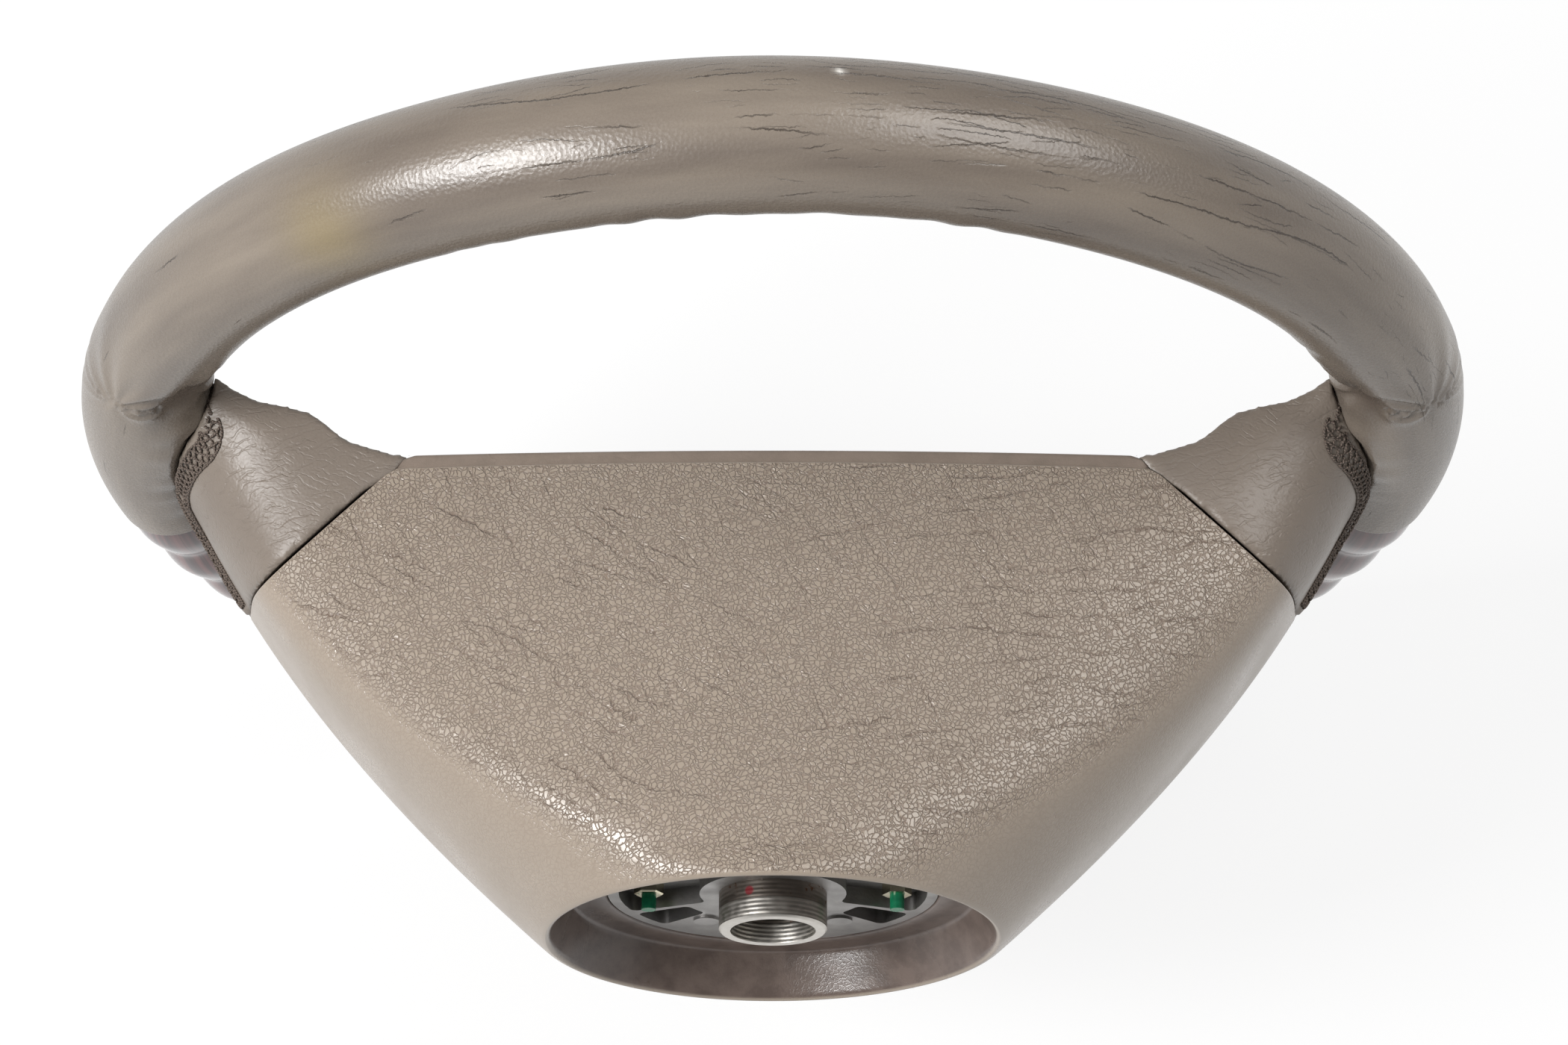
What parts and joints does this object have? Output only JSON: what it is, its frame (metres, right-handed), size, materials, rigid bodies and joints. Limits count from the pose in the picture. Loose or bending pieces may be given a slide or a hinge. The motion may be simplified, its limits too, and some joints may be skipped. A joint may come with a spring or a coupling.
{
  "type": "car steering wheel",
  "caption": "Car steering wheel with a leather and wood rim, wide spokes, a deep funnel-shaped rear shroud and a sprung horn pad.",
  "frame": {"origin": "on the column axis, at the mouth of the hub sleeve's bore", "axes": "Y along the column axis from the column to the driver, Z to twelve o'clock, X to the right seen from the column"},
  "size_m": [0.39, 0.1683, 0.3899],
  "materials": {
    "cast_alloy": "cast",
    "turned_steel": "turned",
    "rim_leather": "worn satin",
    "spoke_leather": "fine wrinkled",
    "lacquered_wood": "gloss lacquer",
    "shroud_skin": "leather grain",
    "pad_skin": "leather grain",
    "zinc_steel": "zinc plated",
    "green_paint": "gloss",
    "contact_brass": "plain",
    "bag_cloth": "woven"
  },
  "bodies": {
    "wheel": {"armature": "cast_alloy", "hub_sleeve": "turned_steel", "rim_leather": "rim_leather", "wood_grip": "lacquered_wood", "left_spoke_cover": "spoke_leather", "right_spoke_cover": "spoke_leather", "rear_shroud": "shroud_skin", "horn_carrier": "zinc_steel", "carrier_studs": "zinc_steel", "carrier_nuts": "green_paint", "guide_bolts": "zinc_steel", "horn_springs": "zinc_steel", "fixed_contacts": "contact_brass"},
    "horn_push": {"pad_cover": "pad_skin", "airbag_housing": "zinc_steel", "gas_generator": "zinc_steel", "bag_retaining_ring": "zinc_steel", "generator_nuts": "zinc_steel", "airbag_cushion": "bag_cloth", "cover_rivets": "zinc_steel", "moving_contacts": "contact_brass"}
  },
  "joints": [
    {"name": "horn_press", "type": "slide", "parent": "wheel", "child": "horn_push", "axis": [0, -1, 0], "range_m": [0, 0.0025], "stiffness_N_per_m": 6000, "springref_m": -0.004, "deforming": ["horn_springs"]}
  ]
}
